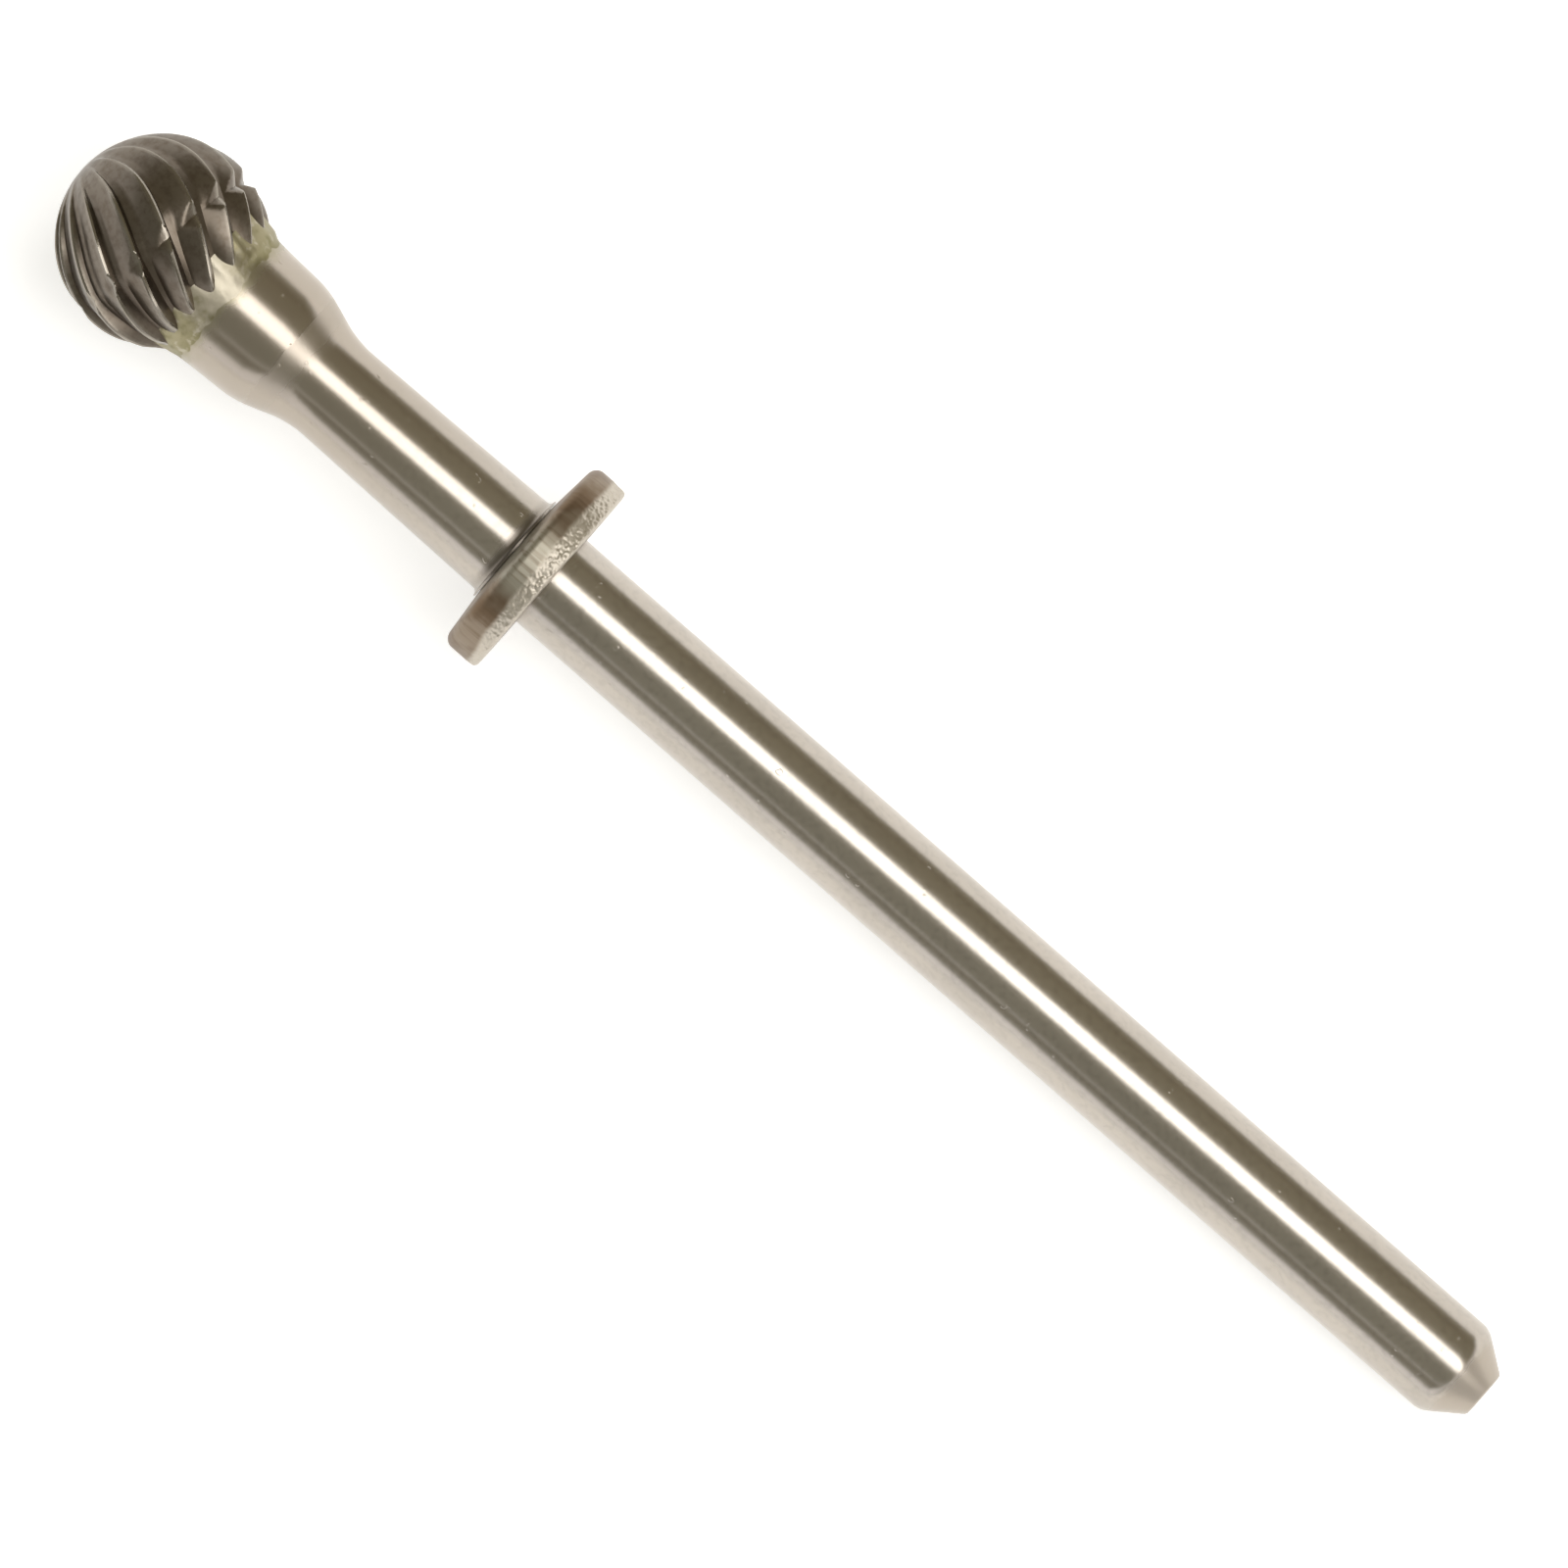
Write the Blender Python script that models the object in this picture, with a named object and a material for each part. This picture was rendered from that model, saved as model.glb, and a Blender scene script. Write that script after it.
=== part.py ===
"""Ball-nose rotary burr: a fluted carbide ball brazed to a turned steel shank, with a stop collar.

Metres, +Z up. The tool lies along X, tail face at the origin and cutting head towards +X.
"""

import math

import bmesh
import bpy
from mathutils import Matrix, Vector

MM = 0.001

# Shank, from the tail to the head
SHANK_DIAMETER = 6.35 * MM
TAIL_FACE_DIAMETER = 3.0 * MM
TAIL_CHAMFER_LENGTH = 2.35 * MM
TAIL_FACE_EDGE_RADIUS = 0.35 * MM
TAIL_CORNER_RADIUS = 1.8 * MM
GRIP_LENGTH = 75.65 * MM
SHOULDER_STEP = 0.5 * MM
SHOULDER_RIM = 0.1 * MM
SHOULDER_FILLET_RADIUS = 0.32 * MM
NECK_LENGTH = 14.95 * MM
NECK_BACK_DIAMETER = 6.65 * MM
NECK_FRONT_DIAMETER = 6.28 * MM
CONE_LENGTH = 3.4 * MM
CONE_FOOT_RADIUS = 6.5 * MM
CONE_TOP_RADIUS = 5.8 * MM
BOSS_LENGTH = 4.55 * MM
BOSS_FRONT_DIAMETER = 9.04 * MM
BOSS_TAPER = 0.42 * MM

# Braze between the boss and the head
BRAZE_LAYER = 0.13 * MM
BRAZE_CREEP_ON_BOSS = 1.0 * MM
BRAZE_CREEP_ON_HEAD = 0.65 * MM
BRAZE_FILLET_RADIUS = 4.4 * MM
BRAZE_LIP = 0.05 * MM
BRAZE_GAP = 0.02 * MM

# Carbide head, with angles measured from its front pole
BALL_DIAMETER = 12.7 * MM
FLUTE_COUNT = 16
FLUTE_DEPTH = 0.75 * MM
FLUTE_FRONT_DEPTH = 0.4 * MM
FLUTE_SPIRAL = math.radians(30.3)
FLUTE_SPIRAL_GROWTH = 0.28
FLUTE_PHASE = math.radians(4.0)
FLUTE_FADE_START = math.radians(8.0)
FLUTE_FADE_END = math.radians(60.0)
FLUTE_DEEPEN_START = math.radians(80.0)
FLUTE_DEEPEN_END = math.radians(106.0)
RAKE_ANGLE = math.radians(65.0)
RAKE_LEAST_WIDTH = 0.01 * MM
HEAD_RINGS = 22

# Shares of a tooth's pitch
GULLET_FLOOR_SHARE = 0.16
FRONT_FLOOR_SHARE = 0.27
LAND_SHARE = 0.06

# Stop collar
COLLAR_DIAMETER = 13.65 * MM
COLLAR_THICKNESS = 2.8 * MM
COLLAR_DOME = 0.32 * MM
COLLAR_HEAD_EDGE_RADIUS = 0.62 * MM
COLLAR_TAIL_EDGE_RADIUS = 0.3 * MM
COLLAR_BORE_EDGE_RADIUS = 0.2 * MM
COLLAR_BORE_CLEARANCE = 0.04 * MM
COLLAR_END_CLEARANCE = 0.03 * MM

TURN_STEPS = 48
ARC_STEP = math.radians(8.0)

# Stations along the axis, and radii, that the sizes above give
SHOULDER_X = GRIP_LENGTH
NECK_FRONT_X = SHOULDER_X + NECK_LENGTH
BOSS_BACK_X = NECK_FRONT_X + CONE_LENGTH
BOSS_FRONT_X = BOSS_BACK_X + BOSS_LENGTH
BRAZE_BACK_X = BOSS_FRONT_X + BRAZE_GAP
BRAZE_FRONT_X = BRAZE_BACK_X + BRAZE_LAYER
HEAD_BACK_X = BRAZE_FRONT_X + BRAZE_GAP
SHANK_RADIUS = SHANK_DIAMETER / 2
BOSS_FRONT_RADIUS = BOSS_FRONT_DIAMETER / 2
BALL_RADIUS = BALL_DIAMETER / 2
BALL_CENTRE_X = HEAD_BACK_X + math.sqrt(BALL_RADIUS**2 - BOSS_FRONT_RADIUS**2)
COLLAR_HEAD_X = SHOULDER_X - COLLAR_END_CLEARANCE
COLLAR_TAIL_X = COLLAR_HEAD_X - COLLAR_THICKNESS


def clear_scene():
    for old in list(bpy.data.objects):
        bpy.data.objects.remove(old, do_unlink=True)


def metal(name, colour, roughness):
    """A plain metal finish for one sub-part."""
    material = bpy.data.materials.new(name)
    material.use_nodes = True
    shader = material.node_tree.nodes["Principled BSDF"]
    shader.inputs["Base Color"].default_value = (*colour, 1.0)
    shader.inputs["Roughness"].default_value = roughness
    shader.inputs["Metallic"].default_value = 1.0
    return material


def add_object(name, mesh_builder, material, origin=Vector()):
    """Makes a named object from a bmesh, shaded smooth with sharp corners, with its origin at a point."""
    bmesh.ops.translate(mesh_builder, verts=mesh_builder.verts, vec=-origin)
    bmesh.ops.recalc_face_normals(mesh_builder, faces=mesh_builder.faces)
    mesh = bpy.data.meshes.new(name)
    mesh_builder.to_mesh(mesh)
    mesh_builder.free()
    mesh.shade_smooth()
    mesh.set_sharp_from_angle(angle=math.radians(30))
    mesh.materials.append(material)
    placed = bpy.data.objects.new(name, mesh)
    placed.location = origin
    bpy.context.scene.collection.objects.link(placed)
    return placed


def rounded_corner(before, corner, after, radius):
    """Points of the arc that rounds one corner of an outline, tangent to both of its sides."""
    back = (before - corner).normalized()
    ahead = (after - corner).normalized()
    half = back.angle(ahead) / 2
    room = 0.49 * min((before - corner).length, (after - corner).length)
    setback = min(radius / math.tan(half), room)
    centre = corner + (back + ahead).normalized() * (setback / math.cos(half))
    start = corner + back * setback - centre
    turn = start.angle_signed(corner + ahead * setback - centre)
    steps = max(2, round(abs(turn) / ARC_STEP))
    return [centre + Matrix.Rotation(-turn * i / steps, 2) @ start for i in range(steps + 1)]


def outline(*corners):
    """An outline through (x, radius from the axis, corner rounding), with its rounded corners as arcs."""
    points = [Vector(corner[:2]) for corner in corners]
    path = [points[0]]
    for i in range(1, len(points) - 1):
        rounding = corners[i][2]
        if rounding:
            path += rounded_corner(points[i - 1], points[i], points[i + 1], rounding)
        else:
            path.append(points[i])
    return path + [points[-1]]


def turned(path, closed=False):
    """A bmesh with the outline spun once round the X axis."""
    builder = bmesh.new()
    verts = [builder.verts.new((x, radius, 0)) for x, radius in path]
    ends = verts[1:] + verts[:1] if closed else verts[1:]
    edges = [builder.edges.new(pair) for pair in zip(verts, ends)]
    bmesh.ops.spin(
        builder,
        geom=verts + edges,
        cent=(0, 0, 0),
        axis=(1, 0, 0),
        angle=math.tau,
        steps=TURN_STEPS,
        use_merge=True,
    )
    bmesh.ops.remove_doubles(builder, verts=builder.verts, dist=1e-7)
    return builder


def boss_radius(x):
    return BOSS_FRONT_RADIUS - BOSS_TAPER / 2 * (BOSS_FRONT_X - x) / BOSS_LENGTH


def make_shank():
    path = outline(
        (0, 0, 0),
        (0, TAIL_FACE_DIAMETER / 2, TAIL_FACE_EDGE_RADIUS),
        (TAIL_CHAMFER_LENGTH, SHANK_RADIUS, TAIL_CORNER_RADIUS),
        (SHOULDER_X, SHANK_RADIUS, 0),
        (SHOULDER_X, SHANK_RADIUS + SHOULDER_STEP, 0),
        (SHOULDER_X + SHOULDER_RIM, SHANK_RADIUS + SHOULDER_STEP, 0),
        (SHOULDER_X + SHOULDER_RIM, NECK_BACK_DIAMETER / 2, SHOULDER_FILLET_RADIUS),
        (NECK_FRONT_X, NECK_FRONT_DIAMETER / 2, CONE_FOOT_RADIUS),
        (BOSS_BACK_X, boss_radius(BOSS_BACK_X), CONE_TOP_RADIUS),
        (BOSS_FRONT_X, BOSS_FRONT_RADIUS, 0),
        (BOSS_FRONT_X, 0, 0),
    )
    return add_object("shank", turned(path), metal("ground_steel", (0.62, 0.59, 0.54), 0.22))


def ball_radius_at(x, offset=0.0):
    return math.sqrt((BALL_RADIUS + offset) ** 2 - (x - BALL_CENTRE_X) ** 2)


def concave_arc(start, end, radius, steps):
    """Points between two ends of an arc whose hollow side faces away from the axis."""
    chord = end - start
    middle = (start + end) / 2
    outwards = Vector((-chord.y, chord.x)).normalized()
    centre = middle + outwards * math.sqrt(radius**2 - (chord.length / 2) ** 2)
    turn = (start - centre).angle_signed(end - centre)
    return [centre + Matrix.Rotation(-turn * i / steps, 2) @ (start - centre) for i in range(1, steps)]


def make_braze():
    """A thin disc between boss and head, with a fillet that creeps on to both."""
    rear_x = BOSS_FRONT_X - BRAZE_CREEP_ON_BOSS
    front_x = HEAD_BACK_X + BRAZE_CREEP_ON_HEAD
    on_boss = Vector((rear_x, boss_radius(rear_x) + BRAZE_GAP))
    on_head = Vector((front_x, ball_radius_at(front_x, BRAZE_GAP)))
    lip = Vector((0, BRAZE_LIP))
    seat_steps = 3
    seat = [front_x - i * (front_x - BRAZE_FRONT_X) / seat_steps for i in range(1, seat_steps + 1)]
    path = [Vector((BRAZE_BACK_X, 0))]
    path += [Vector((BRAZE_BACK_X, BOSS_FRONT_RADIUS + BRAZE_GAP)), on_boss, on_boss + lip]
    path += concave_arc(on_boss + lip, on_head + lip, BRAZE_FILLET_RADIUS, steps=4)
    path += [on_head + lip, on_head]
    path += [Vector((x, ball_radius_at(x, BRAZE_GAP))) for x in seat]
    path += [Vector((BRAZE_FRONT_X, 0))]
    return add_object("braze_joint", turned(path), metal("braze_metal", (0.70, 0.66, 0.42), 0.45))


def eased(value, start, end):
    """0 before start and 1 after end, with a smooth rise between."""
    share = min(max((value - start) / (end - start), 0.0), 1.0)
    return share * share * (3 - 2 * share)


def tooth_corners(polar):
    """(share of the pitch after a cutting edge, depth) of a tooth's corners, at an angle from the pole."""
    grown = eased(polar, FLUTE_FADE_START, FLUTE_FADE_END)
    deepened = eased(polar, FLUTE_DEEPEN_START, FLUTE_DEEPEN_END)
    depth = grown * (FLUTE_FRONT_DEPTH + deepened * (FLUTE_DEPTH - FLUTE_FRONT_DEPTH))
    pitch = math.tau / FLUTE_COUNT * BALL_RADIUS * math.sin(polar)
    floor_share = FRONT_FLOOR_SHARE + deepened * (GULLET_FLOOR_SHARE - FRONT_FLOOR_SHARE)
    rake_end = max(depth / math.tan(RAKE_ANGLE), RAKE_LEAST_WIDTH) / pitch
    floor_end = rake_end + floor_share
    facet_end = 1 - LAND_SHARE
    facet_middle = (floor_end + facet_end) / 2
    return (0, 0), (rake_end, depth), (floor_end, depth), (facet_middle, depth / 2), (facet_end, 0)


def flute_turn(polar):
    """How far round a flute has turned at an angle from the pole: it slants more towards the back."""
    behind = polar - math.pi / 2
    return -behind * (math.tan(FLUTE_SPIRAL) + FLUTE_SPIRAL_GROWTH * behind / 2)


def make_head():
    """A ball with spiral teeth, whose rings turn with the spiral so that its edges run along the flutes."""
    back_polar = math.pi - math.asin(BOSS_FRONT_RADIUS / BALL_RADIUS)
    polar_step = back_polar / (HEAD_RINGS - 1)
    columns = len(tooth_corners(back_polar))
    builder = bmesh.new()
    bmesh.ops.create_uvsphere(
        builder,
        u_segments=FLUTE_COUNT * columns,
        v_segments=HEAD_RINGS,
        radius=1.0,
    )
    for vert in builder.verts:
        ring = round(vert.co.angle(Vector((0, 0, 1))) / math.pi * HEAD_RINGS)
        column = round(math.atan2(vert.co.y, vert.co.x) / math.tau * FLUTE_COUNT * columns)
        if ring == 0:
            vert.co = (BALL_CENTRE_X + BALL_RADIUS, 0, 0)
            continue
        if ring == HEAD_RINGS:
            vert.co = (HEAD_BACK_X, 0, 0)
            continue
        polar = ring * polar_step
        tooth, corner = divmod(column, columns)
        share, depth = tooth_corners(polar)[corner]
        turn = FLUTE_PHASE + math.tau * (tooth + share) / FLUTE_COUNT + flute_turn(polar)
        radius = (BALL_RADIUS - depth) * math.sin(polar)
        x = BALL_CENTRE_X + BALL_RADIUS * math.cos(polar)
        vert.co = (x, radius * math.cos(turn), radius * math.sin(turn))
    return add_object("burr_head", builder, metal("carbide", (0.17, 0.15, 0.13), 0.32))


def make_collar():
    """A stamped ring, domed on the side of the head, where its edge was drawn in."""
    bore = SHANK_RADIUS + COLLAR_BORE_CLEARANCE
    rim = COLLAR_DIAMETER / 2
    mid_x = (COLLAR_TAIL_X + COLLAR_HEAD_X) / 2
    path = outline(
        (mid_x, bore, 0),
        (COLLAR_TAIL_X, bore, COLLAR_BORE_EDGE_RADIUS),
        (COLLAR_TAIL_X, rim, COLLAR_TAIL_EDGE_RADIUS),
        (COLLAR_HEAD_X - COLLAR_DOME, rim, COLLAR_HEAD_EDGE_RADIUS),
        (COLLAR_HEAD_X, bore, COLLAR_BORE_EDGE_RADIUS),
        (mid_x, bore, 0),
    )
    steel = metal("stamped_steel", (0.50, 0.46, 0.42), 0.4)
    return add_object("stop_collar", turned(path[:-1], closed=True), steel, Vector((COLLAR_HEAD_X, 0, 0)))


def main():
    clear_scene()
    shank = make_shank()
    for piece in (make_braze(), make_head(), make_collar()):
        piece.parent = shank


main()
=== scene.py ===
"""Ball-nose rotary burr on a pale table: the finished surfaces of the tool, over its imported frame.

Metres, in the frame's axes: the tool lies along X, tail face at the origin, cutting head towards +X.
Turns round the tool are measured about +X, from +Y towards +Z.
"""

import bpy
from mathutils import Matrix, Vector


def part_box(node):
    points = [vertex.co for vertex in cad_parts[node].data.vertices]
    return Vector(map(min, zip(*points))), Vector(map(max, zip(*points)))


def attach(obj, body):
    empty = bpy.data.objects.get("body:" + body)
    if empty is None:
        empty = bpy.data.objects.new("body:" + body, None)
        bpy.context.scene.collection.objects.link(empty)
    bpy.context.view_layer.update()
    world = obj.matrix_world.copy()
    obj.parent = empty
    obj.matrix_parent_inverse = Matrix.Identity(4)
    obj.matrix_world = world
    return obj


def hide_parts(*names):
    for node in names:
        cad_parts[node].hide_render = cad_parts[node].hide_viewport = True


bl_info = {
    "name": "Ball burr",
    "version": (1, 0, 0),
    "blender": (4, 5, 0),
    "location": "3D Viewport > Sidebar > Burr",
    "description": "Dresses a rotary burr: shank, fluted head, braze and stop collar, on a lit table",
    "category": "Object",
}

import math

import bmesh
import bpy
from bpy.props import FloatProperty, FloatVectorProperty, IntProperty, PointerProperty
from bpy.types import Operator, Panel, PropertyGroup
from mathutils import Matrix, Vector, noise

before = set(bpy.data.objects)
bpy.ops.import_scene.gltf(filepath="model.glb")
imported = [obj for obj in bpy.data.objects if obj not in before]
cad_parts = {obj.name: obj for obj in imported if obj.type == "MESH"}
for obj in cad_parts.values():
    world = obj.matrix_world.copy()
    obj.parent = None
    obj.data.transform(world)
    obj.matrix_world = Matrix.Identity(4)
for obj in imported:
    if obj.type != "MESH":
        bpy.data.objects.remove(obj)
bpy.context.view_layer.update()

MM = 0.001
TOOL_AXIS = Vector((1, 0, 0))

SHANK_LOW, SHANK_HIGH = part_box("shank")
HEAD_LOW, HEAD_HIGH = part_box("burr_head")
COLLAR_LOW, COLLAR_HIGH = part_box("stop_collar")

# Fineness of the meshes
TURN_STEPS = 192
ROUNDING_STEPS = 10
MERGE_DISTANCE = 1e-7
HEAD_RINGS = 200
TOOTH_COLUMNS = (2, 3, 4, 6, 1)
BRAZE_ROWS = 24
BRAZE_STEPS = 384
RIM_ROWS = 28
RIM_STEPS = 600

# Corners sharper than this stay sharp in the shading, in degrees
SHANK_CREASE = 30
HEAD_CREASE = 25
BRAZE_CREASE = 40
COLLAR_CREASE = 75

# Noise of the collar's rim: weight, grains per metre and seed of each layer
TEAR_WANDER = ((0.18 * MM, 450, 3.0), (0.07 * MM, 1500, 7.0))
TORN_GRAIN = ((0.36, 2700, 11.0), (0.6, 6100, 13.0), (0.25, 1100, 29.0))
TORN_MIDDLE = 0.45
SCORE_GRAIN = (3500, 17.0)

# Brim of the pale sweep, by how high a direction looks: overall, more on the near side, more behind
BRIM_HEIGHT = 0.149
BRIM_NEAR_RISE = 0.169
BRIM_BEHIND_RISE = 0.28
BRIM_BLUR = 0.07

# Bands of the room along the tool: degrees from overhead to the near side, degrees from there to where
# the band begins to fade and to where it ends, strength, and the paint's name
ROOM_BANDS = ((-72, 1, 6, 0.5, "beam"), (57, 1, 5, 0.4, "beam"), (48, 1, 4, 0.36, "sweep"))


def length(name, description, millimetres):
    """A size that a user can change."""
    return FloatProperty(
        name=name,
        description=description,
        default=millimetres * MM,
        unit="LENGTH",
        precision=5,
    )


def angle(name, description, degrees):
    return FloatProperty(
        name=name,
        description=description,
        default=math.radians(degrees),
        subtype="ANGLE",
    )


def share(name, description, part):
    return FloatProperty(name=name, description=description, default=part, min=0.0, max=1.0)


def number(name, description, value):
    return FloatProperty(name=name, description=description, default=value)


def colour(name, description, red, green, blue):
    return FloatVectorProperty(
        name=name,
        description=description,
        default=(red, green, blue),
        size=3,
        min=0.0,
        subtype="COLOR",
    )


class ShankSizes(PropertyGroup):
    """The turned shank, from its tail to the boss that carries the head."""

    tail_face: length("Tail face", "Diameter of the flat end", 3.0)
    tail_face_rounding: length("Tail face edge", "Rounding of the flat end's edge", 0.15)
    tail_chamfer: length("Tail chamfer", "Length of the end chamfer", 2.3)
    tail_rounding: length("Tail rounding", "How far the chamfer's corner is worn round", 0.42)
    grip: length("Grip", "Diameter of the straight grip that a collet holds", 6.35)
    shoulder_step: length("Shoulder step", "Height of the shoulder that stops the collar", 0.5)
    shoulder_rim: length("Shoulder rim", "Width of the shoulder's rim", 0.1)
    shoulder_fillet: length("Shoulder fillet", "Hollow between the shoulder and the neck", 0.32)
    shoulder_gap: length("Shoulder gap", "From the collar to the shoulder", 0.03)
    neck: length("Neck", "Length of the neck in front of the shoulder", 14.95)
    neck_back: length("Neck back", "Diameter of the neck's thick end", 6.65)
    neck_front: length("Neck front", "Diameter of the neck's thin end", 6.28)
    cone: length("Cone", "Length of the cone between neck and boss", 3.4)
    cone_foot_rounding: length("Cone foot", "How far the hollow at the cone's foot reaches", 1.05)
    cone_top_rounding: length("Cone top", "How far the rounding at the cone's top reaches", 0.7)
    boss_taper: length("Boss taper", "How much thinner the boss is at its back", 0.42)
    steel: colour("Steel", "Ground steel", 0.50, 0.455, 0.405)
    browned: colour("Browned", "Dull steel of the chamfer and the heated boss", 0.42, 0.367, 0.31)
    heat_tint: colour("Heat tint", "Steel that the brazing heat has yellowed", 0.36, 0.325, 0.235)
    # The colour for the shoulder's corner is painted shade, which darkens the neck next to the collar.
    corner_shade: colour("Grime", "Dirt in the corner at the shoulder", 0.13, 0.11, 0.09)


class HeadSizes(PropertyGroup):
    """The carbide ball, its spiral flutes and the chip-breaker groove that notches its teeth."""

    ball: length("Ball", "Diameter over the cutting edges", 12.7)
    flutes: IntProperty(name="Flutes", description="Number of teeth", default=16, min=3)
    depth: length("Flute depth", "Depth of a gullet below the ball", 0.75)
    front_depth: length("Front depth", "Depth of a gullet on the front half", 0.4)
    spiral: angle("Spiral", "Slant of the flutes at the ball's equator", 30.3)
    spiral_growth: number("Spiral growth", "How fast the slant grows towards the back", 0.28)
    phase: angle("Flute phase", "Turn of the first edge at the equator", 4.0)
    fade_start: angle("Fade start", "Angle from the front pole where the flutes begin", 8.0)
    fade_end: angle("Fade end", "Angle from the front pole where they have their front depth", 60.0)
    deepen_start: angle("Deepen start", "Angle from the front pole where they begin to deepen", 80.0)
    deepen_end: angle("Deepen end", "Angle from the front pole where they have their depth", 106.0)
    edge_bevel: length("Edge bevel", "Width of the worn bevel along a cutting edge", 0.12)
    bevel_angle: angle("Bevel", "Steepness of that bevel", 38.0)
    rake_angle: angle("Rake", "Steepness of the face below a cutting edge", 70.0)
    floor_share: share("Gullet floor", "Share of the pitch that a gullet's floor takes", 0.16)
    front_floor_share: share("Front floor", "That share on the front half", 0.27)
    land_share: share("Land", "Share of the pitch that the land behind a facet takes", 0.05)
    shallow: length("Shallow", "Gullets less deep than this have their mesh columns evened out", 0.15)
    edge_glint: length("Edge glint", "How far the bright metal reaches from a cutting edge", 0.2)
    notch_lead: length("Notch lead", "Step of the left-hand chip-breaker groove per turn", 5.2)
    notch_start: length("Notch start", "Groove's place behind the ball's centre, at half a turn", 1.47)
    notch_depth: length("Notch depth", "Depth of the groove below the ball, where it is deepest", 0.58)
    notch_reach: length("Notch reach", "Half of the groove's width", 0.75)
    notch_front: length("Notch front", "Place before the ball's centre where it begins to run out", 1.0)
    notch_run_out: length("Notch run-out", "Length over which the groove runs out", 1.2)
    carbide: colour("Carbide", "Ground carbide", 0.188, 0.162, 0.134)
    edge: colour("Edge", "Bright metal along the cutting edges", 0.34, 0.31, 0.265)
    # The gullet colour is painted shade on the flutes' floors, darker the deeper they are, and also a
    # random mottle.
    gullet: colour("Gullet", "Darker floor of the flutes", 0.125, 0.1, 0.077)


class BrazeSizes(PropertyGroup):
    """The braze that has run on to the boss and into the flutes."""

    creep_on_boss: length("Creep on boss", "How far the braze has run back on to the boss", 0.72)
    creep_in_flutes: length("Creep in flutes", "How far it has run forward into the flutes", 1.6)
    film: length("Film", "Thickness where it thins out on the boss", 0.006)
    lift: length("Lift", "Height of the fillet over the joint", 0.09)
    build_up: length("Build-up", "Extra height on the side where it was fed", 0.2)
    wander: length("Wander", "How much its edge on the boss comes and goes", 0.32)
    climb: number("Climb", "How steeply it climbs from the joint into the flutes", 0.16)
    core: length("Core", "Thickness of the ring below its surface", 0.4)
    metal: colour("Braze", "Pale yellow braze", 0.33, 0.295, 0.185)
    # Cream is both random clean patches and a painted highlight along the braze's middle.
    cream_and_highlight: colour("Cream", "Clean patches", 0.56, 0.51, 0.42)
    scale: colour("Scale", "Olive scale at its edges", 0.2, 0.18, 0.085)


class CollarSizes(PropertyGroup):
    """The stamped stop collar, whose rim has a sheared band and a torn one."""

    head_rounding: length("Head edge", "Reach of the die roll at the edge on the head's side", 0.66)
    dome: length("Dome", "How much the head's side stands proud at the bore", 0.32)
    tail_rounding: length("Tail edge", "Rounding of the edge on the tail's side", 0.3)
    bore_rounding: length("Bore edge", "Rounding of the bore's edges", 0.2)
    bore_clearance: length("Bore clearance", "Gap round the shank", 0.04)
    sheared_band: length("Sheared band", "Width of the smooth band of the rim", 1.55)
    slant: length("Slant", "How much that width comes and goes round the rim", 0.4)
    slant_turn: angle("Slant turn", "Where round the rim that width is smallest", 120.0)
    tear: length("Tear", "Width over which the smooth band gives way to the torn one", 0.4)
    scores: length("Scores", "Usual depth of the scores in the smooth band", 0.008)
    torn_taper: length("Torn taper", "How far the torn band falls away to the tail's side", 0.16)
    torn_relief: length("Torn relief", "Depth of the torn band's pits", 0.1)
    steel: colour("Steel", "Stamped steel", 0.28, 0.225, 0.17)
    # The worn steel colour is a painted highlight along the rim's middle, where the lamp's reflection
    # falls.
    worn: colour("Worn steel", "Steel that handling has rubbed clean", 0.42, 0.39, 0.325)
    torn: colour("Torn steel", "Bright grain of the torn band", 0.56, 0.51, 0.44)
    stain: colour("Stain", "Brown stain", 0.18, 0.125, 0.08)


class StageSizes(PropertyGroup):
    """The table, the light round it and the camera."""

    table: length("Table", "Half of the table's width", 2000.0)
    table_colour: colour("Table colour", "Paint of the table", 0.8, 0.8, 0.8)
    table_glow: number("Table glow", "Light that the table gives off by itself", 0.6)
    far_room: colour("Far room", "Dim room on the far side, which the metal reflects", 0.31, 0.28, 0.2)
    near_room: colour("Near room", "Dim room on the near side", 0.32, 0.31, 0.255)
    beam: colour("Beam", "Brown bands of the room", 0.16, 0.115, 0.065)
    sweep: colour("Sweep", "Pale sweep round the table's edge, and a pale band", 1.2, 1.2, 1.2)
    lamp_height: length("Lamp height", "Height of the lamp panel", 500.0)
    lamp_far: angle("Lamp far side", "Slant from the tool to the panel's far edge", -26.5)
    lamp_near: angle("Lamp near side", "Slant from the tool to the panel's near edge", 0.3)
    lamp_behind: length("Lamp behind", "How far the panel reaches towards the tail", 1300.0)
    lamp_ahead: length("Lamp ahead", "How far the panel reaches towards the head", 130.0)
    lamp_radiance: number("Lamp radiance", "Brightness of the lamp panel's face", 2.9)
    key_power: FloatProperty(
        name="Key power", description="Power of the key lamp", default=0.7, unit="POWER"
    )
    key_size: length("Key size", "Width of the key lamp", 250.0)
    key_distance: length("Key distance", "From the key lamp to the tool", 600.0)
    key_side: angle("Key side", "Slant from the tool to the key lamp, on the far side", -50.0)
    camera_distance: length("Camera distance", "From the camera to the tool", 3000.0)
    view_width: length("View width", "What the picture's width spans at the tool", 92.24)
    view_centre: length("View centre", "Place along the tool at the picture's centre", 54.64)
    tool_turn: angle("Tool turn", "Direction from tail to head in the picture", 138.86)


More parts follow.
